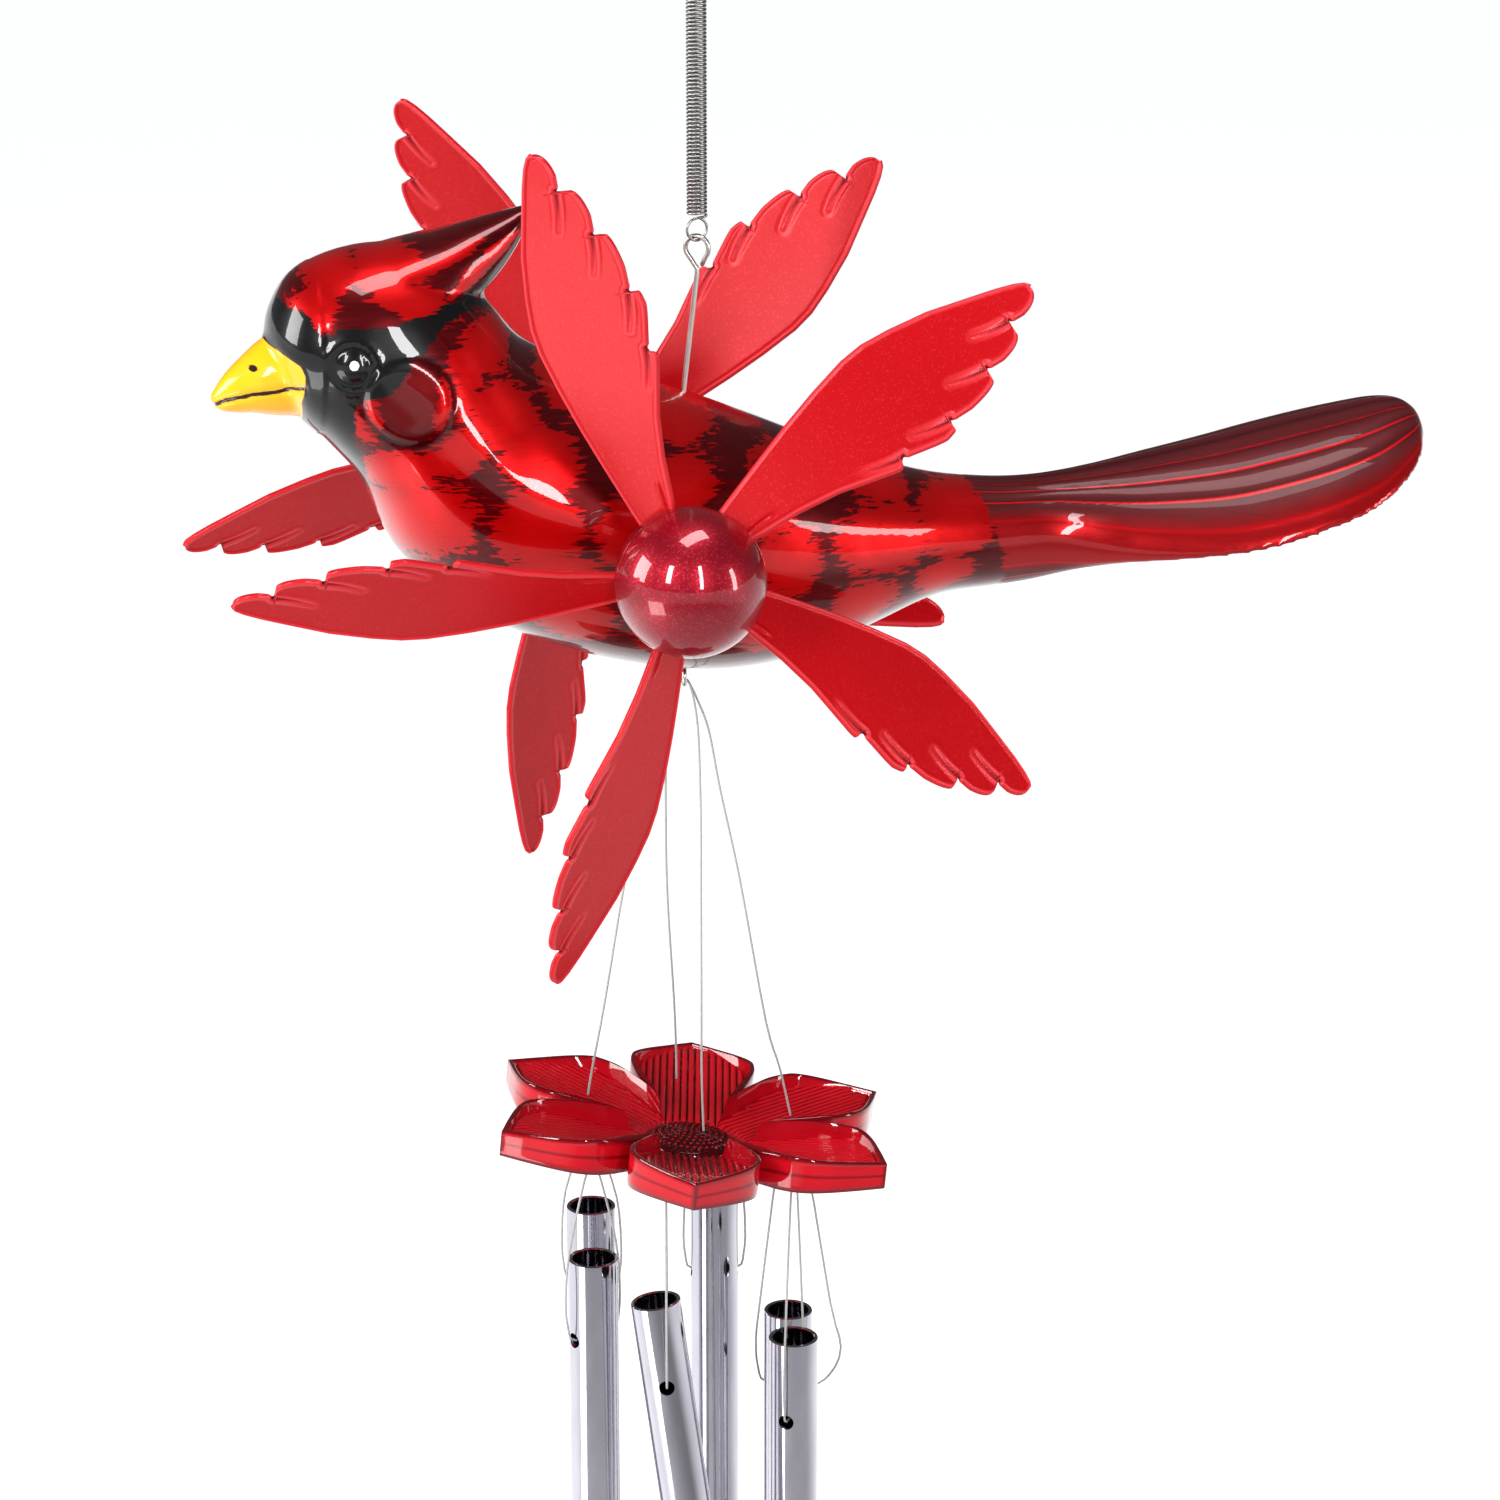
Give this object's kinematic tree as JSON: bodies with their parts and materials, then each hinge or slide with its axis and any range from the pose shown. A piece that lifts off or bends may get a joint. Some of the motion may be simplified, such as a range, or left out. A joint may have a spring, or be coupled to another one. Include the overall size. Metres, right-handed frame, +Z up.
{
  "type": "bird whirligig wind chime",
  "caption": "Spring-hung red bird whirligig with a spinning feathered wing on each side and a flower disc of chime tubes strung below.",
  "frame": {"origin": "inside top of the hanging hook's upper bend, where it rests on what holds it", "axes": "+Z up; -X towards the beak and +X towards the tail; the wing axle lies along Y, the bird's left side at -Y"},
  "size_m": [0.308, 0.1614, 0.6113],
  "materials": {
    "steel_wire": "satin",
    "spring_steel": "satin",
    "steel_rod": "satin",
    "body_paint": "gloss",
    "bush_plastic": "matte",
    "spacer_plastic": "matte",
    "hub_paint": "gloss",
    "blade_plastic": "gloss",
    "disc_plastic": "gloss",
    "string_nylon": "satin",
    "tube_aluminium": "polished"
  },
  "bodies": {
    "hook": {"hanging_hook": "steel_wire"},
    "spring": {"extension_spring": "spring_steel"},
    "spring_end": {"spring_end_loop": "spring_steel"},
    "bird": {"hanger_wire": "steel_wire", "body_left_shell": "body_paint", "body_right_shell": "body_paint", "wing_axle": "steel_rod", "left_axle_bush": "bush_plastic", "right_axle_bush": "bush_plastic", "left_spacer": "spacer_plastic", "right_spacer": "spacer_plastic", "left_push_nut": "steel_rod", "right_push_nut": "steel_rod"},
    "left_wing": {"left_hub_base": "hub_paint", "left_hub_cap": "hub_paint", "left_blade_1": "blade_plastic", "left_blade_2": "blade_plastic", "left_blade_3": "blade_plastic", "left_blade_4": "blade_plastic", "left_blade_5": "blade_plastic"},
    "right_wing": {"right_hub_base": "hub_paint", "right_hub_cap": "hub_paint", "right_blade_1": "blade_plastic", "right_blade_2": "blade_plastic", "right_blade_3": "blade_plastic", "right_blade_4": "blade_plastic", "right_blade_5": "blade_plastic"},
    "chime": {"flower_disc": "disc_plastic", "disc_string_left": "string_nylon", "disc_string_back": "string_nylon", "disc_string_centre": "string_nylon", "disc_string_right": "string_nylon"},
    "tube_1_hang": {"tube_1": "tube_aluminium", "tube_string_1": "string_nylon"},
    "tube_2_hang": {"tube_2": "tube_aluminium", "tube_string_2": "string_nylon"},
    "tube_3_hang": {"tube_3": "tube_aluminium", "tube_string_3": "string_nylon"},
    "tube_4_hang": {"tube_4": "tube_aluminium", "tube_string_4": "string_nylon"},
    "tube_5_hang": {"tube_5": "tube_aluminium", "tube_string_5": "string_nylon"},
    "tube_6_hang": {"tube_6": "tube_aluminium", "tube_string_6": "string_nylon"}
  },
  "joints": [
    {"name": "spring_swing", "type": "hinge", "parent": "hook", "child": "spring", "pos_m": [0, 0, -0.0229], "axis": [1, 0, 0], "range_deg": [-25, 25]},
    {"name": "spring_stretch", "type": "slide", "parent": "spring", "child": "spring_end", "axis": [0, 0, -1], "range_m": [-0.012, 0.03], "stiffness_N_per_m": 300, "springref_m": -0.012, "deforming": ["extension_spring"]},
    {"name": "bird_turn", "type": "hinge", "parent": "spring_end", "child": "bird", "pos_m": [0, 0, -0.102], "axis": [0, 0, 1], "range_deg": [-50, 10]},
    {"name": "left_wing_spin", "type": "hinge", "parent": "bird", "child": "left_wing", "pos_m": [-0.016, -0.05585, -0.17], "axis": [0, -1, 0], "continuous": true},
    {"name": "right_wing_spin", "type": "hinge", "parent": "bird", "child": "right_wing", "pos_m": [-0.016, 0.05585, -0.17], "axis": [0, 1, 0], "continuous": true},
    {"name": "chime_swing", "type": "hinge", "parent": "bird", "child": "chime", "pos_m": [-0.0036, 0, -0.21465], "axis": [0, 1, 0], "range_deg": [-15, 15]},
    {"name": "tube_1_swing", "type": "hinge", "parent": "chime", "child": "tube_1_hang", "pos_m": [-0.01476, -0.02628, -0.33549], "axis": [-0.9063, 0.4226, 0], "range_deg": [-1.5, 12]},
    {"name": "tube_2_swing", "type": "hinge", "parent": "chime", "child": "tube_2_hang", "pos_m": [0.02035, -0.01785, -0.33965], "axis": [-0.6157, -0.788, 0], "range_deg": [-2.5, 12]},
    {"name": "tube_3_swing", "type": "hinge", "parent": "chime", "child": "tube_3_hang", "pos_m": [0.02538, 0.00799, -0.34115], "axis": [0.2756, -0.9613, 0], "range_deg": [-2.5, 12]},
    {"name": "tube_4_swing", "type": "hinge", "parent": "chime", "child": "tube_4_hang", "pos_m": [0.00976, 0.02628, -0.34011], "axis": [0.9063, -0.4226, 0], "range_deg": [-2.5, 12]},
    {"name": "tube_5_swing", "type": "hinge", "parent": "chime", "child": "tube_5_hang", "pos_m": [-0.02504, 0.01825, -0.336], "axis": [0.6293, 0.7771, 0], "range_deg": [-2.5, 12]},
    {"name": "tube_6_swing", "type": "hinge", "parent": "chime", "child": "tube_6_hang", "pos_m": [-0.03008, -0.00896, -0.33445], "axis": [-0.309, 0.9511, 0], "range_deg": [-2.5, 12]}
  ]
}
